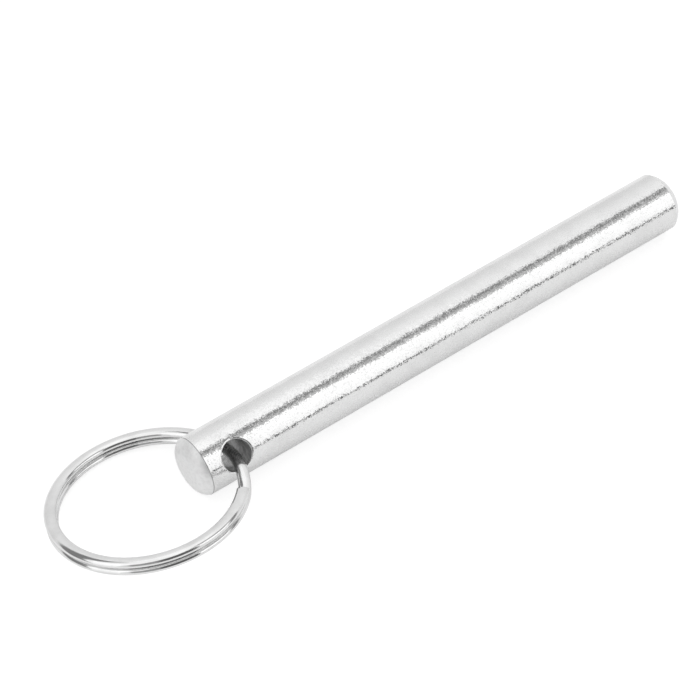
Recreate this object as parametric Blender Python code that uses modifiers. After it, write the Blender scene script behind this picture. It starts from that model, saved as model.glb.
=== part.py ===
"""A weight stack pin: a plain round steel bar with a split ring threaded through its cross hole.

Metres. The origin is the centre of the tip's flat face. The bar lies along X with its tip at +X, and Z is up
from the surface on which the bar lies. The ring leans in its hole, with the lower side on that surface too.
"""

from __future__ import annotations

import math

import bmesh
import bpy
from mathutils import Euler, Vector

# Bar
ROD_DIAMETER = 0.009525
ROD_LENGTH = 0.092
ROD_FACETS = 32
HEAD_CROWN_RADIUS = 0.0025
HEAD_CREASE_ANGLE = math.radians(68.0)
TIP_CROWN_RADIUS = 0.0039
TIP_CREASE_ANGLE = math.radians(60.0)
CROWN_STEPS = 7

# Cross hole
HOLE_DIAMETER = 0.00484
HOLE_FROM_HEAD = 0.0063
HOLE_FACETS = 40
MOUTH_CHAMFER = 0.00008
CUTTER_OVERSHOOT = 0.0010

# Split ring
RING_OUTER_DIAMETER = 0.0305
WIRE_WIDTH = 0.00195
WIRE_THICKNESS = 0.00116
WIRE_CORNER_RADIUS = 0.0005
CORNER_STEPS = 3
COIL_GAP = 0.00012
STATION_ANGLE = math.radians(5.0)
STEP_STATION_ANGLE = math.radians(2.5)
UPPER_END_ANGLE = math.radians(-42.0)
LOWER_END_ANGLE = math.radians(24.0)
STEP_START_ANGLE = math.radians(-17.0)
STEP_END_ANGLE = math.radians(-43.0)
CUT_END_ROUNDING = 0.00012
WELD_DISTANCE = 0.000001

# Seat of the ring in the hole
RING_YAW = math.radians(1.5)
HOLE_ABOVE_RING_PLANE = math.radians(18.0)
SWING_AXIS_SHARE = 0.7
WIRE_SHIFT_TO_TIP = 0.00075
WIRE_DROP = 0.0007

# Finishes: colour, metallic, roughness
ZINC_COLOR = (0.62, 0.63, 0.64, 1.0)
ZINC_ROUGHNESS = 0.28
NICKEL_COLOR = (0.70, 0.69, 0.67, 1.0)
NICKEL_ROUGHNESS = 0.12

ROD_RADIUS = ROD_DIAMETER / 2
HOLE_RADIUS = HOLE_DIAMETER / 2
WIRE_CENTRE_RADIUS = (RING_OUTER_DIAMETER - WIRE_WIDTH) / 2
COIL_PITCH = WIRE_THICKNESS + COIL_GAP
HOLE_X = HOLE_FROM_HEAD - ROD_LENGTH


def clear_scene() -> None:
    """Removes every object that the file opened with."""
    for obj in list(bpy.data.objects):
        bpy.data.objects.remove(obj, do_unlink=True)


def new_collection(name: str) -> bpy.types.Collection:
    """Adds a collection to the scene and returns it."""
    collection = bpy.data.collections.new(name)
    bpy.context.scene.collection.children.link(collection)
    return collection


def metal(name: str, color: tuple[float, float, float, float], roughness: float) -> bpy.types.Material:
    """Returns a plated metal material."""
    material = bpy.data.materials.new(name)
    material.use_nodes = True
    shader = material.node_tree.nodes["Principled BSDF"]
    shader.inputs["Base Color"].default_value = color
    shader.inputs["Metallic"].default_value = 1.0
    shader.inputs["Roughness"].default_value = roughness
    material.diffuse_color = color
    return material


def add_mesh_object(name: str, mesh: bpy.types.Mesh, collection: bpy.types.Collection) -> bpy.types.Object:
    """Links a new object for the mesh to the collection."""
    obj = bpy.data.objects.new(name, mesh)
    collection.objects.link(obj)
    return obj


def evaluated_mesh(obj: bpy.types.Object) -> bpy.types.Mesh:
    """Returns a mesh of the object with its modifiers or its bevel carried out."""
    graph = bpy.context.evaluated_depsgraph_get()
    graph.update()
    return bpy.data.meshes.new_from_object(obj.evaluated_get(graph))


def apply_modifiers(obj: bpy.types.Object) -> None:
    """Replaces the object's mesh by the one that its modifiers make."""
    mesh = evaluated_mesh(obj)
    obj.modifiers.clear()
    obj.data = mesh


def crown_outline(radius: float, crease_angle: float) -> list[tuple[float, float]]:
    """Returns (distance from the bar's axis, depth below the end face) along a rounded end.

    The rounding starts level with the flat face and has turned by the crease angle where it meets the bar's side.
    """
    flat = ROD_RADIUS - radius * math.sin(crease_angle)
    outline = []
    for step in range(CROWN_STEPS + 1):
        angle = crease_angle * step / CROWN_STEPS
        outline.append((flat + radius * math.sin(angle), radius * (1.0 - math.cos(angle))))
    return outline


def make_rod(collection: bpy.types.Collection) -> bpy.types.Object:
    """Turns the bar's outline about its axis, tip at the origin, one facet level underneath."""
    tip = crown_outline(TIP_CROWN_RADIUS, TIP_CREASE_ANGLE)
    head = crown_outline(HEAD_CROWN_RADIUS, HEAD_CREASE_ANGLE)
    outline = [(0.0, 0.0)]
    outline += [(distance, -depth) for distance, depth in tip]
    outline += [(distance, depth - ROD_LENGTH) for distance, depth in reversed(head)]
    outline.append((0.0, -ROD_LENGTH))
    half_step = math.pi / ROD_FACETS
    points = [(d * math.cos(half_step), d * math.sin(half_step), height) for d, height in outline]
    mesh = bpy.data.meshes.new("pin_rod")
    mesh.from_pydata(points, [(i, i + 1) for i in range(len(points) - 1)], [])
    rod = add_mesh_object("pin_rod", mesh, collection)
    screw = rod.modifiers.new("turned", "SCREW")
    screw.axis = "Z"
    screw.steps = ROD_FACETS
    screw.render_steps = ROD_FACETS
    screw.use_merge_vertices = True
    screw.merge_threshold = WELD_DISTANCE
    apply_modifiers(rod)
    rod.rotation_euler = (0.0, math.pi / 2, 0.0)
    return rod


def hole_elevation() -> float:
    """Returns how far the hole's axis rises towards -Y above the surface that the bar lies on."""
    return ring_lean() + HOLE_ABOVE_RING_PLANE


def place_along_hole(obj: bpy.types.Object, distance: float, end: int) -> None:
    """Puts an object that points along its Z at a distance from the hole's centre, on one of its two ends."""
    elevation = hole_elevation()
    direction = Vector((0.0, -math.cos(elevation), math.sin(elevation))) * end
    obj.location = Vector((HOLE_X, 0.0, 0.0)) + direction * distance
    obj.rotation_mode = "QUATERNION"
    obj.rotation_quaternion = direction.to_track_quat("Z", "X")


def make_drill(collection: bpy.types.Collection) -> bpy.types.Object:
    """Makes the cutter for the hole's round wall."""
    mesh = bpy.data.meshes.new("drill")
    shape = bmesh.new()
    bmesh.ops.create_cone(shape, cap_ends=True, segments=HOLE_FACETS, radius1=HOLE_RADIUS, radius2=HOLE_RADIUS,
                          depth=ROD_DIAMETER + 2 * CUTTER_OVERSHOOT)
    shape.to_mesh(mesh)
    shape.free()
    drill = add_mesh_object("drill", mesh, collection)
    place_along_hole(drill, 0.0, 1)
    return drill


def make_countersink(collection: bpy.types.Collection, end: int) -> bpy.types.Object:
    """Makes the 45 degree cutter that breaks the edge of one mouth of the hole."""
    mesh = bpy.data.meshes.new("countersink")
    shape = bmesh.new()
    depth = 2 * CUTTER_OVERSHOOT
    middle = HOLE_RADIUS + MOUTH_CHAMFER
    bmesh.ops.create_cone(shape, cap_ends=True, segments=HOLE_FACETS, radius1=middle - depth / 2,
                          radius2=middle + depth / 2, depth=depth)
    shape.to_mesh(mesh)
    shape.free()
    countersink = add_mesh_object("countersink", mesh, collection)
    place_along_hole(countersink, ROD_RADIUS, end)
    return countersink


def drill_rod(rod: bpy.types.Object, cutters: bpy.types.Collection) -> None:
    """Drills the cross hole and breaks the edges of its mouths."""
    tools = [make_drill(cutters), make_countersink(cutters, 1), make_countersink(cutters, -1)]
    for tool in tools:
        tool.display_type = "WIRE"
        tool.hide_render = True
        cut = rod.modifiers.new(tool.name, "BOOLEAN")
        cut.operation = "DIFFERENCE"
        cut.solver = "EXACT"
        cut.object = tool
    apply_modifiers(rod)


def ring_lean() -> float:
    """Returns the ring's tilt about the bar at which its +Y side touches the surface under the bar."""
    reach = RING_OUTER_DIAMETER / 2 - WIRE_CENTRE_RADIUS * math.sin(RING_YAW) - WIRE_CORNER_RADIUS
    half_height = (COIL_PITCH + WIRE_THICKNESS) / 2 - WIRE_CORNER_RADIUS
    drop = ROD_RADIUS * math.cos(math.pi / ROD_FACETS) - WIRE_DROP - WIRE_CORNER_RADIUS
    return math.asin(drop / math.hypot(reach, half_height)) - math.atan2(half_height, reach)


def wire_height(angle: float) -> float:
    """Returns the wire's height over the ring's middle plane where it changes from one coil to the other."""
    share = (angle - STEP_START_ANGLE) / (STEP_END_ANGLE - STEP_START_ANGLE)
    share = min(max(share, 0.0), 1.0)
    return COIL_PITCH / 2 * math.cos(math.pi * share)


def spaced(start: float, stop: float, spacing: float) -> list[float]:
    """Returns evenly spaced angles from the start to just before the stop."""
    count = max(1, round(abs(stop - start) / spacing))
    return [start + (stop - start) * i / count for i in range(count)]


def wire_stations() -> list[tuple[float, float]]:
    """Returns (angle from the hole, height over the middle plane) along the wire, from end to end.

    The wire starts at its upper cut end, runs once round in the upper coil, passes through the hole, steps down
    outside it and runs once round in the lower coil.
    """
    turn = 2 * math.pi
    angles = spaced(UPPER_END_ANGLE, STEP_START_ANGLE - turn, STATION_ANGLE)
    angles += spaced(STEP_START_ANGLE - turn, STEP_END_ANGLE - turn, STEP_STATION_ANGLE)
    angles += spaced(STEP_END_ANGLE - turn, LOWER_END_ANGLE - 2 * turn, STATION_ANGLE)
    angles.append(LOWER_END_ANGLE - 2 * turn)
    return [(angle, wire_height(angle + turn)) for angle in angles]


def wire_section() -> bpy.types.Object:
    """Makes the closed outline of the flattened wire."""
    curve = bpy.data.curves.new("wire_section", "CURVE")
    curve.dimensions = "2D"
    corner_x = WIRE_WIDTH / 2 - WIRE_CORNER_RADIUS
    corner_y = WIRE_THICKNESS / 2 - WIRE_CORNER_RADIUS
    points = []
    for quarter in range(4):
        for step in range(CORNER_STEPS + 1):
            angle = math.pi / 2 * (quarter + step / CORNER_STEPS)
            side_x = 1.0 if quarter in (0, 3) else -1.0
            side_y = 1.0 if quarter in (0, 1) else -1.0
            points.append((side_x * corner_x + WIRE_CORNER_RADIUS * math.cos(angle),
                           side_y * corner_y + WIRE_CORNER_RADIUS * math.sin(angle)))
    spline = curve.splines.new("POLY")
    spline.points.add(len(points) - 1)
    for point, (x, y) in zip(spline.points, points):
        point.co = (x, y, 0.0, 1.0)
    spline.use_cyclic_u = True
    return bpy.data.objects.new("wire_section", curve)


def make_ring_mesh(cutters: bpy.types.Collection) -> bpy.types.Mesh:
    """Sweeps the flattened wire along its two coils; the wire in the hole runs along Y at the origin."""
    section = wire_section()
    cutters.objects.link(section)
    section.hide_render = True
    section.display_type = "WIRE"
    path = bpy.data.curves.new("wire_path", "CURVE")
    path.dimensions = "3D"
    path.twist_mode = "Z_UP"
    path.bevel_mode = "OBJECT"
    path.bevel_object = section
    path.use_fill_caps = True
    stations = wire_stations()
    spline = path.splines.new("POLY")
    spline.points.add(len(stations) - 1)
    for point, (angle, height) in zip(spline.points, stations):
        point.co = (WIRE_CENTRE_RADIUS * (math.cos(angle) - 1.0), WIRE_CENTRE_RADIUS * math.sin(angle), height, 1.0)
    swept = bpy.data.objects.new("wire_path", path)
    cutters.objects.link(swept)
    mesh = evaluated_mesh(swept)
    bpy.data.objects.remove(swept, do_unlink=True)
    return mesh


def close_mesh(mesh: bpy.types.Mesh) -> None:
    """Welds the caps of a swept mesh to its wall and turns every face outwards."""
    shape = bmesh.new()
    shape.from_mesh(mesh)
    bmesh.ops.remove_doubles(shape, verts=shape.verts, dist=WELD_DISTANCE)
    bmesh.ops.recalc_face_normals(shape, faces=shape.faces)
    shape.to_mesh(mesh)
    shape.free()


def make_ring(collection: bpy.types.Collection, cutters: bpy.types.Collection) -> bpy.types.Object:
    """Makes the split ring and rounds the edges of its two cut ends."""
    mesh = make_ring_mesh(cutters)
    mesh.name = "split_ring"
    close_mesh(mesh)
    ring = add_mesh_object("split_ring", mesh, collection)
    rounding = ring.modifiers.new("cut_end_rounding", "BEVEL")
    rounding.width = CUT_END_ROUNDING
    rounding.segments = 2
    rounding.limit_method = "ANGLE"
    rounding.angle_limit = math.pi / 3
    apply_modifiers(ring)
    return ring


def hang_ring(ring: bpy.types.Object, collection: bpy.types.Collection) -> None:
    """Puts the ring in the hole, parented to an empty whose Y points along the axis on which the ring swings."""
    hinge = bpy.data.objects.new("ring_hinge", None)
    collection.objects.link(hinge)
    hinge.empty_display_size = ROD_RADIUS
    lean = ring_lean()
    swing_elevation = lean + HOLE_ABOVE_RING_PLANE * SWING_AXIS_SHARE
    hinge.location = (HOLE_X, 0.0, 0.0)
    hinge.rotation_euler = (-swing_elevation, 0.0, 0.0)
    turn = Euler((-lean, 0.0, RING_YAW), "ZYX").to_matrix().to_4x4()
    turn.translation = Vector((HOLE_X + WIRE_SHIFT_TO_TIP, 0.0, -WIRE_DROP))
    bpy.context.view_layer.update()
    ring.parent = hinge
    ring.matrix_parent_inverse = hinge.matrix_world.inverted()
    ring.matrix_basis = turn


def main() -> None:
    """Builds the pin and its ring."""
    clear_scene()
    parts = new_collection("weight_stack_pin")
    cutters = new_collection("cutters")
    cutters.hide_render = True
    rod = make_rod(parts)
    rod.data.materials.clear()
    drill_rod(rod, cutters)
    rod.data.materials.append(metal("zinc_plated_steel", ZINC_COLOR, ZINC_ROUGHNESS))
    ring = make_ring(parts, cutters)
    ring.data.materials.append(metal("nickel_plated_wire", NICKEL_COLOR, NICKEL_ROUGHNESS))
    hang_ring(ring, parts)
    bpy.context.view_layer.update()


main()
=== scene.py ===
"""Looks of a weight stack pin: a bright zinc-plated bar with a split ring through its cross hole.

Metres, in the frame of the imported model. The bar lies along X with the middle of its tip at the origin, its
head is at -X, and Z is up from the floor on which the pin lies.
"""

from __future__ import annotations

import logging
import math
from dataclasses import dataclass, field
from enum import Enum

import bmesh
import bpy
from mathutils import Euler, Matrix, Vector


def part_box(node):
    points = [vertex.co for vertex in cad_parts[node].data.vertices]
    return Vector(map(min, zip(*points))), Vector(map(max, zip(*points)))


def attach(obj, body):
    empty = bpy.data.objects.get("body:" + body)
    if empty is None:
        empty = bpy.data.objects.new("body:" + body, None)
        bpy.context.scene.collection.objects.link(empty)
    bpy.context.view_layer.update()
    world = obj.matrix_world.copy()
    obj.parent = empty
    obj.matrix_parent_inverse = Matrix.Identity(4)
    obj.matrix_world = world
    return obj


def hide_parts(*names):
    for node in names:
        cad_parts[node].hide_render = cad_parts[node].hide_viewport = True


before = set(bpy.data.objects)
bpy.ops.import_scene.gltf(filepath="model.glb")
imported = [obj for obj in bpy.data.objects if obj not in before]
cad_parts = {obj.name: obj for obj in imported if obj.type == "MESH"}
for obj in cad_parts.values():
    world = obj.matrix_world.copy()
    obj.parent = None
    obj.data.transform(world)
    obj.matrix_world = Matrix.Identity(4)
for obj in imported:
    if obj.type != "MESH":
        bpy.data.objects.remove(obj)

LOG = logging.getLogger("weight_stack_pin")
MM = 0.001
# The length of one band of a wave texture at scale 1.
WAVE_PERIOD = 0.314


class Body(Enum):
    """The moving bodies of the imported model."""

    BAR = "bar"
    RING = "ring"


class Slot(Enum):
    """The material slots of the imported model."""

    ZINC = "zinc_plated_steel"
    NICKEL = "nickel_plated_wire"


class Surface(Enum):
    """The parts of the bar's surface, each with the number of its material."""

    PLATE = 0
    WALL = 1
    END = 2


def linear(hex_colour: str) -> tuple[float, float, float, float]:
    """Turns an sRGB colour into the linear one that a shader takes.

    Args:
        hex_colour: The colour as "#rrggbb".

    Returns:
        Red, green, blue and an alpha of one.
    """
    values = []
    for start in (1, 3, 5):
        value = int(hex_colour[start:start + 2], 16) / 255.0
        values.append(value / 12.92 if value <= 0.04045 else ((value + 0.055) / 1.055) ** 2.4)
    return values[0], values[1], values[2], 1.0


def add_node(tree: bpy.types.NodeTree, kind: str, inputs: dict[str | int, object] | None = None,
             **settings: object) -> bpy.types.Node:
    """Adds a node with its settings and its links.

    Args:
        tree: The node tree that gets the node.
        kind: Blender's name for the kind of node.
        inputs: What goes into each input, by name or number: a socket to link, or a value.
        settings: The node's own properties.

    Returns:
        The new node.
    """
    node = tree.nodes.new(kind)
    for name, value in settings.items():
        setattr(node, name, value)
    for name, value in (inputs or {}).items():
        if isinstance(value, bpy.types.NodeSocket):
            tree.links.new(value, node.inputs[name])
        else:
            node.inputs[name].default_value = value
    return node


def set_ramp(ramp: bpy.types.Node, stops: list[tuple[float, tuple[float, float, float, float]]]) -> None:
    """Gives a colour ramp its stops.

    Args:
        ramp: The colour ramp node.
        stops: The place and colour of each stop, lowest first.
    """
    elements = ramp.color_ramp.elements
    while len(elements) < len(stops):
        elements.new(1.0)
    for element, (place, colour) in zip(elements, stops):
        element.position = place
        element.color = colour


def empty_material(name: str) -> tuple[bpy.types.Material, bpy.types.NodeTree, bpy.types.Node]:
    """Makes a material that has a Principled shader and nothing else.

    Args:
        name: The material's name.

    Returns:
        The material, its node tree and its shader.
    """
    material = bpy.data.materials.new(name)
    material.use_nodes = True
    tree = material.node_tree
    return material, tree, tree.nodes["Principled BSDF"]


def leave_nothing_selected() -> None:
    """Deselects every object, so that an operator acts only on what is picked next."""
    if bpy.context.mode != "OBJECT":
        bpy.ops.object.mode_set(mode="OBJECT")
    bpy.ops.object.select_all(action="DESELECT")


def pick(obj: bpy.types.Object) -> None:
    """Makes an object the only selected one and the active one.

    Args:
        obj: The object to work on.
    """
    leave_nothing_selected()
    obj.select_set(True)
    bpy.context.view_layer.objects.active = obj


def settle(obj: bpy.types.Object) -> None:
    """Moves an object's place and turn into its mesh.

    Args:
        obj: The object, whose own place becomes the origin.
    """
    pick(obj)
    bpy.ops.object.transform_apply(location=True, rotation=True, scale=True)


def apply_modifier(obj: bpy.types.Object, kind: str, name: str, **settings: object) -> None:
    """Adds a modifier with its settings and applies it.

    Args:
        obj: The object that is shaped.
        kind: Blender's name for the kind of modifier.
        name: The modifier's own name.
        settings: The modifier's properties.
    """
    pick(obj)
    modifier = obj.modifiers.new(name, kind)
    for key, value in settings.items():
        setattr(modifier, key, value)
    bpy.ops.object.modifier_apply(modifier=modifier.name)


def paint_crease_shade(tree: bpy.types.NodeTree, place: bpy.types.NodeSocket, colour: bpy.types.NodeSocket,
                crease: float, width: float, line: str) -> bpy.types.NodeSocket:
    """Paints a thin dark line of painted shade round the bar at a crease.

    Args:
        tree: The material's node tree.
        place: The object coordinates.
        colour: The colour beside the line.
        crease: The crease's place along the bar.
        width: The line's width on each side of the crease.
        line: The colour of the painted shade line.

    Returns:
        The colour with the painted shade line on it.
    """
    along = add_node(tree, "ShaderNodeSeparateXYZ", {"Vector": place}).outputs["X"]
    # Painted shade: the band within the given width of the crease takes the dark line colour.
    on_painted_shade = add_node(tree, "ShaderNodeMath", {0: along, 1: crease, 2: width}, operation="COMPARE")
    return add_node(tree, "ShaderNodeMix", {"Factor": on_painted_shade.outputs["Value"], "A": colour, "B": linear(line)},
                    data_type="RGBA").outputs["Result"]


@dataclass(frozen=True)
class BrightZincPlate:
    """Bright zinc electroplate on cold-drawn steel bar: a pale, nearly neutral metal.

    The plate copies the drawn surface under it. It is made of tiny crystals that lie a few degrees off each
    other, and half of them are glossier than the rest, so light breaks up into fine specks and short dashes,
    mostly where a bright and a dark reflection meet. Handling leaves a few duller clouds. A thin dark line of
    painted shade runs round the crease at the head.
    """

    name: str = "bright_zinc_plate_on_drawn_steel"
    pale: str = "#e5e5e5"
    dull: str = "#e0e0e0"
    # Colour and width of the thin line of painted shade round the crease at the head.
    line: str = "#b2b2b2"
    crease_shade_width: float = 0.06 * MM
    roughness: float = 0.08
    roughness_dull: float = 0.36
    grain_width: float = 0.16 * MM
    grain_length: float = 4.0 * MM
    pit: float = 0.8 * MM
    crystal: float = 0.17 * MM
    crystal_tilt: float = 0.08
    cloud: float = 3.0 * MM
    cloud_range: tuple[float, float] = (0.35, 0.55)
    glossy_share: float = 0.5
    grain_depth: float = 0.004 * MM
    pit_depth: float = 0.02 * MM

    def material(self, crease: float) -> bpy.types.Material:
        """Builds the material.

        Args:
            crease: The place along the bar of the crease round its head.

        Returns:
            The plated bar's material.
        """
        material, tree, shader = empty_material(self.name)
        place = add_node(tree, "ShaderNodeTexCoord").outputs["Object"]
        clouds = add_node(tree, "ShaderNodeTexNoise", {"Vector": place, "Scale": 1.0 / self.cloud,
                                                       "Detail": 3.0})
        tint = add_node(tree, "ShaderNodeValToRGB", {"Fac": clouds.outputs["Fac"]})
        dullest, palest = self.cloud_range
        set_ramp(tint, [(dullest, linear(self.dull)), (palest, linear(self.pale))])
        crystals = add_node(tree, "ShaderNodeTexVoronoi", {"Vector": place, "Scale": 1.0 / self.crystal})
        chance = add_node(tree, "ShaderNodeSeparateXYZ", {"Vector": crystals.outputs["Color"]}).outputs["X"]
        wear = add_node(tree, "ShaderNodeMapRange", {"Value": chance, "From Min": self.glossy_share,
                                                     "To Min": self.roughness, "To Max": self.roughness_dull})
        shader.inputs["Metallic"].default_value = 1.0
        # Paints the thin dark line of shade round the head's crease onto the plate colour.
        colour = paint_crease_shade(tree, place, tint.outputs["Color"], crease, self.crease_shade_width, self.line)
        tree.links.new(colour, shader.inputs["Base Color"])
        tree.links.new(wear.outputs["Result"], shader.inputs["Roughness"])
        tree.links.new(self.relief(tree, place, crystals.outputs["Color"]), shader.inputs["Normal"])
        return material

    def relief(self, tree: bpy.types.NodeTree, place: bpy.types.NodeSocket,
               crystal: bpy.types.NodeSocket) -> bpy.types.NodeSocket:
        """Adds the crystals, the drawn grain and the shallow pits.

        The real crystals and grain are a few hundredths of a millimetre wide and are drawn coarser, so that
        they show.

        Args:
            tree: The material's node tree.
            place: The object coordinates.
            crystal: A colour of its own for each crystal.

        Returns:
            The normal that the relief gives.
        """
        tilt = add_node(tree, "ShaderNodeVectorMath", {0: crystal, 1: (0.5, 0.5, 0.5)}, operation="SUBTRACT")
        normal = add_node(tree, "ShaderNodeNewGeometry").outputs["Normal"]
        tilted = add_node(tree, "ShaderNodeVectorMath", {0: tilt.outputs["Vector"],
                                                         1: (self.crystal_tilt,) * 3, 2: normal},
                          operation="MULTIPLY_ADD")
        level = add_node(tree, "ShaderNodeVectorMath", {0: tilted.outputs["Vector"]}, operation="NORMALIZE")
        stretch = (self.grain_width / self.grain_length, 1.0, 1.0)
        along = add_node(tree, "ShaderNodeMapping", {"Vector": place, "Scale": stretch})
        grain = add_node(tree, "ShaderNodeTexNoise", {"Vector": along.outputs["Vector"],
                                                      "Scale": 1.0 / self.grain_width, "Detail": 0.0})
        pits = add_node(tree, "ShaderNodeTexNoise", {"Vector": place, "Scale": 1.0 / self.pit, "Detail": 1.0})
        drawn = add_node(tree, "ShaderNodeBump", {"Height": grain.outputs["Fac"], "Strength": 1.0,
                                                  "Distance": self.grain_depth,
                                                  "Normal": level.outputs["Vector"]})
        pitted = add_node(tree, "ShaderNodeBump", {"Height": pits.outputs["Fac"], "Distance": self.pit_depth,
                                                   "Strength": 1.0, "Normal": drawn.outputs["Normal"]})
        return pitted.outputs["Normal"]


@dataclass(frozen=True)
class SatinEnd:
    """Zinc plate on the turned and tumbled ends: satin, so they show one even pale grey with a faint mottle.

    The crease round the head carries a thin dark line of painted shade.
    """

    name: str = "satin_zinc_plate_on_turned_end"
    pale: str = "#f0f0f0"
    dull: str = "#e9e9e9"
    # Colour and width of the thin line of painted shade round the crease at the head.
    line: str = "#b2b2b2"
    crease_shade_width: float = 0.08 * MM
    roughness: float = 0.58
    mottle: float = 0.5 * MM
    mottle_range: tuple[float, float] = (0.35, 0.6)
    mottle_depth: float = 0.01 * MM

    def material(self, crease: float) -> bpy.types.Material:
        """Builds the material.

        Args:
            crease: The place along the bar of the crease round its head.

        Returns:
            The material of the bar's ends.
        """
        material, tree, shader = empty_material(self.name)
        place = add_node(tree, "ShaderNodeTexCoord").outputs["Object"]
        mottle = add_node(tree, "ShaderNodeTexNoise", {"Vector": place, "Scale": 1.0 / self.mottle,
                                                       "Detail": 2.0})
        tint = add_node(tree, "ShaderNodeValToRGB", {"Fac": mottle.outputs["Fac"]})
        dullest, palest = self.mottle_range
        set_ramp(tint, [(dullest, linear(self.dull)), (palest, linear(self.pale))])
        # Paints the thin dark line of shade round the head's crease onto the end colour.
        colour = paint_crease_shade(tree, place, tint.outputs["Color"], crease, self.crease_shade_width, self.line)
        relief = add_node(tree, "ShaderNodeBump", {"Height": mottle.outputs["Fac"],
                                                   "Distance": self.mottle_depth})
        shader.inputs["Metallic"].default_value = 1.0
        shader.inputs["Roughness"].default_value = self.roughness
        tree.links.new(colour, shader.inputs["Base Color"])
        tree.links.new(relief.outputs["Normal"], shader.inputs["Normal"])
        return material


@dataclass(frozen=True)
class DrilledWall:
    """The wall of the drilled cross hole, where the plate is thin and stained and the drill left fine rings.

    The rings are a tenth of a millimetre apart in steel like this and are drawn coarser, so that they show.
    """

    name: str = "drilled_steel_with_thin_zinc"
    metal: str = "#dadada"
    stain: str = "#7a7a7a"
    roughness: float = 0.42
    ring_pitch: float = 0.42 * MM
    ring_depth: float = 0.05 * MM
    ring_wobble: float = 1.5
    ring_share: float = 0.5
    stain_size: float = 1.0 * MM
    stain_range: tuple[float, float] = (0.5, 0.95)

    def material(self, axis: Vector, centre: Vector) -> bpy.types.Material:
        """Builds the material.

        Args:
            axis: The direction of the hole.
            centre: The hole's middle on the bar's axis.

        Returns:
            The hole wall's material.
        """
        material, tree, shader = empty_material(self.name)
        place = add_node(tree, "ShaderNodeTexCoord").outputs["Object"]
        turn = axis.to_track_quat("Z", "X").to_euler()
        hole = add_node(tree, "ShaderNodeMapping", {"Vector": place, "Location": centre, "Rotation": turn},
                        vector_type="TEXTURE")
        rings = add_node(tree, "ShaderNodeTexWave", {"Vector": hole.outputs["Vector"],
                                                     "Distortion": self.ring_wobble, "Detail": 2.0,
                                                     "Scale": WAVE_PERIOD / self.ring_pitch},
                         bands_direction="Z")
        stains = add_node(tree, "ShaderNodeTexNoise", {"Vector": place, "Scale": 1.0 / self.stain_size,
                                                       "Detail": 3.0})
        marks = add_node(tree, "ShaderNodeMath", {0: rings.outputs["Fac"], 1: self.ring_share,
                                                  2: stains.outputs["Fac"]}, operation="MULTIPLY_ADD")
        tint = add_node(tree, "ShaderNodeValToRGB", {"Fac": marks.outputs["Value"]})
        most, least = self.stain_range
        set_ramp(tint, [(most, linear(self.stain)), (least, linear(self.metal))])
        cut = add_node(tree, "ShaderNodeBump", {"Height": rings.outputs["Fac"], "Distance": self.ring_depth})
        shader.inputs["Metallic"].default_value = 1.0
        shader.inputs["Roughness"].default_value = self.roughness
        tree.links.new(tint.outputs["Color"], shader.inputs["Base Color"])
        tree.links.new(cut.outputs["Normal"], shader.inputs["Normal"])
        return material


@dataclass(frozen=True)
class PolishedNickelWire:
    """Nickel plate on tumbled spring wire: a slightly softened mirror with faint scuffs along the wire.

    The real scuffs are finer and are drawn as wide as they need to show.
    """

    name: str = "polished_nickel_plate_on_spring_wire"
    pale: str = "#e4e4e4"
    dull: str = "#dcdcdc"
    roughness: float = 0.11
    roughness_dull: float = 0.16
    scuff_width: float = 0.10 * MM
    scuff_turn: float = 12.0
    scuff_depth: float = 0.003 * MM
    cloud: float = 2.5 * MM
    tint_range: tuple[float, float] = (0.3, 0.55)
    wear_range: tuple[float, float] = (0.3, 0.6)

    def material(self, pose: Matrix, centre_radius: float) -> bpy.types.Material:
        """Builds the material.

        Args:
            pose: The ring's place, with the hole's end of the wire at its origin.
            centre_radius: The radius of the wire's middle line.

        Returns:
            The ring's material.
        """
        material, tree, shader = empty_material(self.name)
        place = add_node(tree, "ShaderNodeTexCoord").outputs["Object"]
        middle = pose @ Vector((-centre_radius, 0.0, 0.0))
        ring = add_node(tree, "ShaderNodeMapping", {"Vector": place, "Location": middle,
                                                    "Rotation": pose.to_euler()}, vector_type="TEXTURE")
        parts = add_node(tree, "ShaderNodeSeparateXYZ", {"Vector": ring.outputs["Vector"]})
        angle = add_node(tree, "ShaderNodeMath", {0: parts.outputs["Y"], 1: parts.outputs["X"]},
                         operation="ARCTAN2")
        flat = add_node(tree, "ShaderNodeVectorMath", {0: ring.outputs["Vector"], 1: (1.0, 1.0, 0.0)},
                        operation="MULTIPLY")
        reach = add_node(tree, "ShaderNodeVectorMath", {0: flat.outputs["Vector"]}, operation="LENGTH")
        turned = add_node(tree, "ShaderNodeMath", {0: angle.outputs["Value"],
                                                   1: self.scuff_turn * self.scuff_width},
                          operation="MULTIPLY")
        along = add_node(tree, "ShaderNodeCombineXYZ", {"X": reach.outputs["Value"],
                                                        "Y": turned.outputs["Value"],
                                                        "Z": parts.outputs["Z"]})
        scuffs = add_node(tree, "ShaderNodeTexNoise", {"Vector": along.outputs["Vector"],
                                                       "Scale": 1.0 / self.scuff_width, "Detail": 2.0})
        clouds = add_node(tree, "ShaderNodeTexNoise", {"Vector": place, "Scale": 1.0 / self.cloud,
                                                       "Detail": 2.0})
        tint = add_node(tree, "ShaderNodeValToRGB", {"Fac": clouds.outputs["Fac"]})
        dullest, palest = self.tint_range
        set_ramp(tint, [(dullest, linear(self.dull)), (palest, linear(self.pale))])
        roughest, smoothest = self.wear_range
        wear = add_node(tree, "ShaderNodeMapRange", {"Value": clouds.outputs["Fac"], "From Min": roughest,
                                                     "From Max": smoothest, "To Min": self.roughness_dull,
                                                     "To Max": self.roughness})
        scuffed = add_node(tree, "ShaderNodeBump", {"Height": scuffs.outputs["Fac"],
                                                    "Distance": self.scuff_depth})
        shader.inputs["Metallic"].default_value = 1.0
        tree.links.new(tint.outputs["Color"], shader.inputs["Base Color"])
        tree.links.new(wear.outputs["Result"], shader.inputs["Roughness"])
        tree.links.new(scuffed.outputs["Normal"], shader.inputs["Normal"])
        return material


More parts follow.
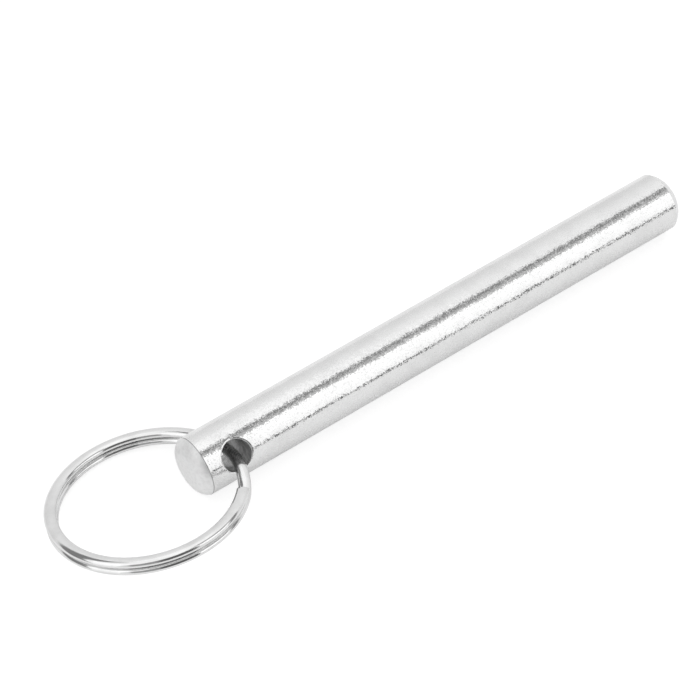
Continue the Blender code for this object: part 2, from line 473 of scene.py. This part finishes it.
@dataclass(frozen=True)
class Crown:
    """The rounded rim of one end: an arc that leaves the flat face level and meets the side in a crease."""

    radius: float
    crease: float
    steps: int = 16

    def depth(self) -> float:
        """Returns how far the crease lies below the flat face."""
        return self.radius * (1.0 - math.cos(self.crease))

    def insets(self) -> list[tuple[float, float]]:
        """Returns the width and rise of each inset that turns the flat end of a cylinder into the crown."""
        marks = []
        for step in range(self.steps, -1, -1):
            angle = self.crease * step / self.steps
            marks.append((self.radius * math.sin(angle), self.radius * math.cos(angle)))
        return [(outer - inner, rise - low) for (outer, low), (inner, rise) in zip(marks, marks[1:])]


@dataclass(frozen=True)
class CrossHole:
    """The drilled hole for the ring, with its lips broken by tumbling."""

    x: float = -85.58 * MM
    radius: float = 2.44 * MM
    elevation: float = math.radians(31.2)
    lip_width: float = 0.46 * MM
    lip_depth: float = 0.2 * MM
    lip_rise: float = 0.02 * MM
    sides: int = 128
    lip_steps: int = 9
    overshoot: float = 1.0 * MM

    def axis(self) -> Vector:
        """Returns the direction of the hole, out of the mouth that faces up."""
        return Vector((0.0, -math.cos(self.elevation), math.sin(self.elevation)))

    def centre(self) -> Vector:
        """Returns the hole's middle on the bar's axis."""
        return Vector((self.x, 0.0, 0.0))

    def levels(self, bar_radius: float) -> list[tuple[float, float]]:
        """Lists the cutter's outline from one end to the other, at the side of the bar.

        Args:
            bar_radius: The bar's radius.

        Returns:
            The height along the hole and the radius of each level.
        """
        top = [(bar_radius + self.overshoot, self.radius + self.lip_width)]
        for step in range(self.lip_steps, -1, -1):
            angle = math.pi / 2 * step / self.lip_steps
            top.append((bar_radius + self.lip_rise - self.lip_depth * (1.0 - math.sin(angle)),
                        self.radius + self.lip_width * (1.0 - math.cos(angle))))
        return [(-height, radius) for height, radius in top] + top[::-1]

    def cutter(self, bar_radius: float) -> bpy.types.Object:
        """Models the drill with its flared ends.

        Args:
            bar_radius: The bar's radius.

        Returns:
            The cutter, in its place in the bar.
        """
        levels = self.levels(bar_radius)
        leave_nothing_selected()
        bpy.ops.mesh.primitive_circle_add(vertices=self.sides, radius=levels[0][1], fill_type="NGON",
                                          location=(0.0, 0.0, levels[0][0]))
        cutter = bpy.context.active_object
        bpy.ops.object.transform_apply(location=True, rotation=True, scale=True)
        bpy.ops.object.mode_set(mode="EDIT")
        bpy.ops.mesh.select_all(action="SELECT")
        for (low, before), (high, after) in zip(levels, levels[1:]):
            bpy.ops.mesh.extrude_region_move(TRANSFORM_OT_translate={"value": (0.0, 0.0, high - low)})
            share = after / before
            bpy.ops.transform.resize(value=(share, share, 1.0), center_override=(0.0, 0.0, high))
        self.saddle(cutter, bar_radius)
        bpy.ops.mesh.select_all(action="SELECT")
        bpy.ops.mesh.normals_make_consistent(inside=False)
        bpy.ops.object.mode_set(mode="OBJECT")
        cutter.rotation_euler = self.axis().to_track_quat("Z", "X").to_euler()
        cutter.location = self.centre()
        settle(cutter)
        return cutter

    def saddle(self, cutter: bpy.types.Object, bar_radius: float) -> None:
        """Lets each flared end follow the round side of the bar, which no single operator does.

        Args:
            cutter: The cutter, in edit mode and upright at the origin.
            bar_radius: The bar's radius.
        """
        turn = self.axis().to_track_quat("Z", "X").to_matrix()
        shape = bmesh.from_edit_mesh(cutter.data)
        for vert in shape.verts:
            across = (turn @ Vector((vert.co.x, vert.co.y, 0.0))).yz.length
            drop = bar_radius - math.sqrt(bar_radius ** 2 - across ** 2)
            vert.co.z -= math.copysign(drop, vert.co.z)
        bmesh.update_edit_mesh(cutter.data)


@dataclass
class PinBar:
    """The plain round bar with its crowned ends and its cross hole."""

    plate: BrightZincPlate = field(default_factory=BrightZincPlate)
    wall: DrilledWall = field(default_factory=DrilledWall)
    end: SatinEnd = field(default_factory=SatinEnd)
    head: Crown = field(default_factory=lambda: Crown(2.5 * MM, math.radians(68.0)))
    tip: Crown = field(default_factory=lambda: Crown(3.9 * MM, math.radians(60.0)))
    hole: CrossHole = field(default_factory=CrossHole)
    sides: int = 256
    skin: float = 0.001 * MM
    wall_reach: float = 0.02 * MM
    rim_depth: float = 0.002 * MM
    straight: float = 1e-4
    facing: float = 0.999
    end_facing: float = 0.99
    smooth_angle: float = math.radians(20.0)
    node: str = "pin_rod"
    radius: float = field(init=False)
    length: float = field(init=False)

    def __post_init__(self) -> None:
        """Takes the bar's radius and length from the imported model, a hair inside its box."""
        low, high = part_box(self.node)
        self.radius = (high[2] - low[2]) / 2 - self.skin
        self.length = high[0] - low[0]

    def creases(self) -> tuple[float, float]:
        """Returns the places along the bar of the creases round its head and its tip."""
        return self.head.depth() - self.length + self.skin, -self.tip.depth() - self.skin

    def build(self) -> bpy.types.Object:
        """Models the bar and dresses it.

        Returns:
            The finished bar.
        """
        bar = self.turn_bar()
        self.drill(bar)
        self.dress(bar)
        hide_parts(self.node)
        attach(bar, Body.BAR.value)
        return bar

    def turn_bar(self) -> bpy.types.Object:
        """Models the bar without its hole.

        Returns:
            The bar in its place.
        """
        start, end = self.creases()
        leave_nothing_selected()
        bpy.ops.mesh.primitive_cylinder_add(vertices=self.sides, radius=self.radius, depth=end - start,
                                            end_fill_type="NGON", location=((start + end) / 2, 0.0, 0.0),
                                            rotation=(0.0, math.pi / 2, 0.0))
        bar = bpy.context.active_object
        bar.name = "bright_bar"
        bpy.ops.object.transform_apply(location=True, rotation=True, scale=True)
        for side, crown in ((1.0, self.tip), (-1.0, self.head)):
            self.crown_end(bar, side, crown)
        return bar

    def crown_end(self, bar: bpy.types.Object, side: float, crown: Crown) -> None:
        """Insets and lifts one end face step by step into its crown.

        Args:
            bar: The bar, in object mode.
            side: 1 for the tip, -1 for the head.
            crown: The crown's outline.
        """
        pick(bar)
        bpy.ops.object.mode_set(mode="EDIT")
        bpy.ops.mesh.select_mode(type="FACE")
        bpy.ops.mesh.select_all(action="DESELECT")
        shape = bmesh.from_edit_mesh(bar.data)
        for face in shape.faces:
            face.select_set(face.normal.x * side > self.end_facing)
        bmesh.update_edit_mesh(bar.data)
        for width, rise in crown.insets():
            bpy.ops.mesh.inset(thickness=width, depth=rise)
        bpy.ops.object.mode_set(mode="OBJECT")

    def drill(self, bar: bpy.types.Object) -> None:
        """Cuts the cross hole and its rounded lips.

        Args:
            bar: The bar, in object mode.
        """
        cutter = self.hole.cutter(self.radius)
        apply_modifier(bar, "BOOLEAN", "cross_hole", operation="DIFFERENCE", solver="EXACT", object=cutter)
        mesh = cutter.data
        bpy.data.objects.remove(cutter, do_unlink=True)
        bpy.data.meshes.remove(mesh)

    def dress(self, bar: bpy.types.Object) -> None:
        """Smooths the bar and gives its side, its ends and the hole's wall their materials.

        The side gets the normals of a true cylinder, so that its facets don't show in the reflections.

        Args:
            bar: The bar, in object mode.
        """
        hole, mesh = self.hole, bar.data
        start, end = self.creases()
        mesh.materials.clear()
        mesh.materials.append(self.plate.material(start))
        mesh.materials.append(self.wall.material(hole.axis(), hole.centre()))
        mesh.materials.append(self.end.material(start))
        pick(bar)
        bpy.ops.object.shade_smooth_by_angle(angle=self.smooth_angle)
        rim = self.radius * math.cos(math.pi / self.sides) - self.rim_depth
        normals = [Vector((0.0, 0.0, 0.0))] * len(mesh.loops)
        for polygon in mesh.polygons:
            centre = polygon.center
            out = Vector((0.0, centre.y, centre.z))
            from_hole = (centre - hole.centre()).cross(hole.axis()).length
            if from_hole < hole.radius + self.wall_reach and out.length < rim:
                polygon.material_index = Surface.WALL.value
            elif not start < centre.x < end:
                polygon.material_index = Surface.END.value
            elif abs(polygon.normal.x) < self.straight and polygon.normal.dot(out.normalized()) > self.facing:
                for index in polygon.loop_indices:
                    spot = mesh.vertices[mesh.loops[index].vertex_index].co
                    normals[index] = Vector((0.0, spot.y, spot.z)).normalized()
        mesh.normals_split_custom_set(normals)


@dataclass
class SplitRing:
    """The split ring of flattened wire, two coils side by side, hung in the cross hole."""

    finish: PolishedNickelWire = field(default_factory=PolishedNickelWire)
    centre_radius: float = 14.275 * MM
    width: float = 1.92 * MM
    thickness: float = 1.16 * MM
    squareness: float = 2.15
    section_sides: int = 40
    coil_gap: float = 0.12 * MM
    upper_end: float = math.radians(-42.0)
    lower_end: float = math.radians(24.0)
    step_start: float = math.radians(-17.0)
    step_end: float = math.radians(-43.0)
    station: float = math.radians(1.5)
    end_rounding: float = 0.12 * MM
    end_segments: int = 4
    end_angle: float = math.radians(60.0)
    weld: float = 0.001 * MM
    lean: float = math.radians(11.368)
    yaw: float = math.radians(1.5)
    seat: tuple[float, float, float] = (-84.95 * MM, 0.0, -0.7 * MM)
    node: str = "split_ring"
    smooth_angle: float = math.radians(35.0)

    def pose(self) -> Matrix:
        """Returns the ring's place: the wire in the hole runs along Y at its origin."""
        pose = Euler((-self.lean, 0.0, self.yaw), "ZYX").to_matrix().to_4x4()
        pose.translation = Vector(self.seat)
        return pose

    def height(self, angle: float) -> float:
        """Returns the wire's height over the ring's middle plane at an angle from the hole."""
        share = min(max((angle - self.step_start) / (self.step_end - self.step_start), 0.0), 1.0)
        return (self.thickness + self.coil_gap) / 2 * math.cos(math.pi * share)

    def path(self) -> list[tuple[float, float, float]]:
        """Returns the points of the wire's middle line, from the upper cut end to the lower one."""
        turn = 2 * math.pi
        last = self.lower_end - 2 * turn
        count = round((self.upper_end - last) / self.station)
        points = []
        for index in range(count + 1):
            angle = self.upper_end + (last - self.upper_end) * index / count
            points.append((self.centre_radius * (math.cos(angle) - 1.0), self.centre_radius * math.sin(angle),
                           self.height(angle + turn)))
        return points

    def build(self) -> bpy.types.Object:
        """Models the ring and dresses it.

        Returns:
            The finished ring.
        """
        ring = self.sweep(self.section())
        self.round_ends(ring)
        ring.matrix_world = self.pose()
        settle(ring)
        ring.data.materials.clear()
        ring.data.materials.append(self.finish.material(self.pose(), self.centre_radius))
        pick(ring)
        bpy.ops.object.shade_smooth_by_angle(angle=self.smooth_angle)
        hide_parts(self.node)
        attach(ring, Body.RING.value)
        return ring

    def section(self) -> bpy.types.Object:
        """Models the outline of the flattened wire: a circle that is pressed until its sides are nearly flat.

        Returns:
            The outline as a curve.
        """
        leave_nothing_selected()
        bpy.ops.mesh.primitive_circle_add(vertices=self.section_sides, radius=1.0, fill_type="NOTHING")
        section = bpy.context.active_object
        power = 2.0 / self.squareness
        for vert in section.data.vertices:
            vert.co.x = math.copysign(abs(vert.co.x) ** power, vert.co.x) * self.width / 2
            vert.co.y = math.copysign(abs(vert.co.y) ** power, vert.co.y) * self.thickness / 2
        pick(section)
        bpy.ops.object.convert(target="CURVE")
        return bpy.context.active_object

    def sweep(self, section: bpy.types.Object) -> bpy.types.Object:
        """Sweeps the wire's outline along its two coils.

        Args:
            section: The outline, which is used up.

        Returns:
            The wire as a closed mesh, with the ring's middle plane level.
        """
        curve = bpy.data.curves.new("split_ring_path", "CURVE")
        curve.dimensions = "3D"
        curve.twist_mode = "Z_UP"
        curve.bevel_mode = "OBJECT"
        curve.bevel_object = section
        curve.use_fill_caps = True
        points = self.path()
        spline = curve.splines.new("POLY")
        spline.points.add(len(points) - 1)
        for point, place in zip(spline.points, points):
            point.co = (*place, 1.0)
        ring = bpy.data.objects.new("bright_split_ring", curve)
        bpy.context.scene.collection.objects.link(ring)
        pick(ring)
        bpy.ops.object.convert(target="MESH")
        bpy.data.objects.remove(section, do_unlink=True)
        bpy.ops.object.mode_set(mode="EDIT")
        bpy.ops.mesh.select_all(action="SELECT")
        bpy.ops.mesh.remove_doubles(threshold=self.weld)
        bpy.ops.mesh.normals_make_consistent(inside=False)
        bpy.ops.object.mode_set(mode="OBJECT")
        return ring

    def round_ends(self, ring: bpy.types.Object) -> None:
        """Rounds the edges of the two cut ends.

        Args:
            ring: The wire's mesh.
        """
        apply_modifier(ring, "BEVEL", "cut_end_rounding", width=self.end_rounding,
                       segments=self.end_segments, limit_method="ANGLE", angle_limit=self.end_angle)


@dataclass(frozen=True)
class Panel:
    """A flat panel of the tent, which stands square to the pin between two directions seen from it.

    Each direction is an azimuth from +X towards +Y and an elevation. Directions and the span, which is the
    panel's width, are in degrees.
    """

    name: str
    foot: tuple[float, float]
    head: tuple[float, float]
    span: float
    distance: float

    @staticmethod
    def way(azimuth: float, elevation: float) -> Vector:
        """Returns the unit vector of a direction given in degrees."""
        across, rise = math.radians(azimuth), math.radians(elevation)
        return Vector((math.cos(rise) * math.cos(across), math.cos(rise) * math.sin(across), math.sin(rise)))

    def size(self) -> tuple[float, float]:
        """Returns the panel's width and length."""
        across, along = math.radians(self.span), self.way(*self.foot).angle(self.way(*self.head))
        return 2 * self.distance * math.tan(across / 2), 2 * self.distance * math.tan(along / 2)

    def place(self, target: Vector) -> Matrix:
        """Finds the panel's place.

        Args:
            target: The point that the panel faces.

        Returns:
            The place, with the panel's length along Y and its -Z towards the target.
        """
        foot, head = self.way(*self.foot), self.way(*self.head)
        out = (foot + head).normalized()
        up = (head - foot).normalized()
        place = Matrix((up.cross(out), up, out)).transposed().to_4x4()
        place.translation = target + out * self.distance
        return place


@dataclass(frozen=True)
class SoftBox(Panel):
    """A soft light, as bright to look at as its strength says."""

    strength: float = 0.32
    distance: float = 1.1


@dataclass(frozen=True)
class DarkFlag(Panel):
    """A dark strip, which only reflections see."""

    shade: str = "#7a7a7a"
    distance: float = 0.9


@dataclass
class Studio:
    """The floor, the lights round the pin and the camera.

    The boxes and flags stand where the reflections in the ring and the bar show the studio's lights and gaps.
    """

    target: Vector = field(default_factory=lambda: Vector((-58.69 * MM, 5.07 * MM, -0.60 * MM)))
    azimuth: float = math.radians(-123.81)
    elevation: float = math.radians(46.94)
    distance: float = 424.72 * MM
    roll: float = math.radians(3.53)
    lens: float = 144.0
    sensor: float = 36.0
    clip_start: float = 10.0 * MM
    tent_low: float = 0.845
    tent_high: float = 1.15
    floor_size: float = 3.0
    floor_paint: str = "#e6e6e6"
    floor_seen_paint: str = "#959595"
    floor_seen_glow: float = 0.78
    floor_mirrored_glow: float = 0.12
    boxes: tuple[SoftBox, ...] = (
        SoftBox("right_softbox", (-64.6, -10.6), (-33.7, 65.4), 38.0, strength=0.38),
        SoftBox("left_softbox", (-171.0, -6.6), (147.7, 58.0), 36.0),
        SoftBox("overhead_softbox", (0.0, 78.6), (78.0, 50.5), 22.0, strength=0.12),
    )
    flags: tuple[DarkFlag, ...] = (
        DarkFlag("camera_gap", (-102.8, -12.5), (-117.2, 72.0), 50.0, shade="#666666"),
        DarkFlag("camera_gap_side", (-131.0, -8.0), (-150.0, 58.0), 28.0, shade="#a6a6a6"),
        DarkFlag("right_gap", (-40.1, 0.0), (4.1, 50.4), 12.0, shade="#8c8c8c"),
        DarkFlag("overhead_gap", (-44.5, 55.0), (0.0, 65.0), 28.0, shade="#c4c4c4"),
        DarkFlag("overhead_gap_core", (-29.5, 61.4), (-8.7, 65.1), 28.0, distance=0.85, shade="#949494"),
        DarkFlag("left_gap", (169.6, -6.0), (90.0, 47.0), 24.0, shade="#868686"),
        DarkFlag("table_edge", (-90.0, 4.5), (-45.0, 3.2), 6.6, shade="#6c6c6c"),
    )

    def build(self) -> None:
        """Sets up the floor, the world, the lights and the camera."""
        self.floor()
        self.world()
        for box in self.boxes:
            self.soft_light(box)
        for flag in self.flags:
            self.dark_strip(flag)
        self.camera()
        bpy.context.scene.view_settings.view_transform = "Standard"

    def middle(self) -> Vector:
        """Returns the point on the bar's axis that every panel faces."""
        return Vector((self.target.x, 0.0, 0.0))

    def soft_light(self, box: SoftBox) -> None:
        """Adds a soft light.

        Args:
            box: The light's place and strength.
        """
        light = bpy.data.lights.new(box.name, "AREA")
        light.shape = "RECTANGLE"
        light.size, light.size_y = box.size()
        light.energy = box.strength * math.pi * light.size * light.size_y
        lamp = bpy.data.objects.new(box.name, light)
        lamp.matrix_world = box.place(self.middle())
        lamp.visible_camera = False
        bpy.context.scene.collection.objects.link(lamp)

    def dark_strip(self, flag: DarkFlag) -> None:
        """Adds a dark strip for the reflections.

        Args:
            flag: The strip's place and shade.
        """
        leave_nothing_selected()
        bpy.ops.mesh.primitive_plane_add(size=1.0)
        strip = bpy.context.active_object
        strip.name = flag.name
        strip.scale = (*flag.size(), 1.0)
        settle(strip)
        strip.matrix_world = flag.place(self.middle())
        settle(strip)
        material = bpy.data.materials.new(flag.name + "_cloth")
        material.use_nodes = True
        tree = material.node_tree
        tree.nodes.clear()
        glow = add_node(tree, "ShaderNodeEmission", {"Color": linear(flag.shade), "Strength": 1.0})
        add_node(tree, "ShaderNodeOutputMaterial", {"Surface": glow.outputs["Emission"]})
        strip.data.materials.append(material)
        strip.visible_camera = False
        strip.visible_diffuse = False
        strip.visible_shadow = False

    def floor(self) -> None:
        """Adds the plain white floor under the pin.

        The camera sees it a little darker and self-lit, so that it ends in white and keeps the pin's shadow.
        """
        low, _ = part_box("pin_rod")
        leave_nothing_selected()
        bpy.ops.mesh.primitive_plane_add(size=self.floor_size, location=(self.target.x, 0.0, low[2]))
        floor = bpy.context.active_object
        floor.name = "white_floor"
        material, tree, shader = empty_material("matt_white_table")
        path = add_node(tree, "ShaderNodeLightPath")
        shader.inputs["Roughness"].default_value = 0.9
        shader.inputs["Specular IOR Level"].default_value = 0.0
        seen = add_node(tree, "ShaderNodeMath", {0: path.outputs["Is Camera Ray"],
                                                 1: path.outputs["Is Transmission Ray"]}, operation="MAXIMUM")
        paint = add_node(tree, "ShaderNodeMix", {"Factor": seen.outputs["Value"],
                                                 "A": linear(self.floor_paint),
                                                 "B": linear(self.floor_seen_paint)}, data_type="RGBA")
        seen_glow = add_node(tree, "ShaderNodeMath", {0: seen.outputs["Value"], 1: self.floor_seen_glow},
                             operation="MULTIPLY")
        glow = add_node(tree, "ShaderNodeMath", {0: path.outputs["Is Glossy Ray"],
                                                 1: self.floor_mirrored_glow, 2: seen_glow.outputs["Value"]},
                        operation="MULTIPLY_ADD")
        shader.inputs["Emission Color"].default_value = (1.0, 1.0, 1.0, 1.0)
        tree.links.new(paint.outputs["Result"], shader.inputs["Base Color"])
        tree.links.new(glow.outputs["Value"], shader.inputs["Emission Strength"])
        floor.data.materials.append(material)

    def world(self) -> None:
        """Makes the world a white tent that is brightest overhead."""
        world = bpy.data.worlds.new("white_tent")
        world.use_nodes = True
        tree = world.node_tree
        tree.nodes.clear()
        path = add_node(tree, "ShaderNodeLightPath")
        way = add_node(tree, "ShaderNodeTexCoord").outputs["Generated"]
        rise = add_node(tree, "ShaderNodeSeparateXYZ", {"Vector": way}).outputs["Z"]
        square = add_node(tree, "ShaderNodeMath", {0: rise, 1: rise}, operation="MULTIPLY")
        dome = add_node(tree, "ShaderNodeMapRange", {"Value": square.outputs["Value"],
                                                     "To Min": self.tent_low, "To Max": self.tent_high})
        level = add_node(tree, "ShaderNodeMix", {"Factor": path.outputs["Is Camera Ray"],
                                                 "A": dome.outputs["Result"], "B": 1.0}, data_type="FLOAT")
        tent = add_node(tree, "ShaderNodeBackground", {"Color": (1.0, 1.0, 1.0, 1.0),
                                                       "Strength": level.outputs["Result"]})
        add_node(tree, "ShaderNodeOutputWorld", {"Surface": tent.outputs["Background"]})
        bpy.context.scene.world = world

    def camera(self) -> None:
        """Adds the camera at the photograph's place."""
        level = math.cos(self.elevation)
        back = Vector((level * math.cos(self.azimuth), level * math.sin(self.azimuth),
                       math.sin(self.elevation)))
        right = (-back).cross(Vector((0.0, 0.0, 1.0))).normalized()
        up = back.cross(right)
        turned_right = math.cos(self.roll) * right - math.sin(self.roll) * up
        turned_up = math.sin(self.roll) * right + math.cos(self.roll) * up
        place = Matrix((turned_right, turned_up, back)).transposed().to_4x4()
        place.translation = self.target + back * self.distance
        data = bpy.data.cameras.new("product_camera")
        data.lens = self.lens
        data.sensor_width = self.sensor
        data.clip_start = self.clip_start
        camera = bpy.data.objects.new("product_camera", data)
        camera.matrix_world = place
        bpy.context.scene.collection.objects.link(camera)
        bpy.context.scene.camera = camera


def main() -> None:
    """Builds the pin and its studio."""
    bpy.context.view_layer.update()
    for sub_assembly in (PinBar(), SplitRing()):
        piece = sub_assembly.build()
        LOG.info("%s: %d faces", piece.name, len(piece.data.polygons))
    Studio().build()
    LOG.info("studio ready")


if __name__ == "__main__":
    logging.basicConfig(level=logging.INFO, format="%(name)s: %(message)s")
    main()
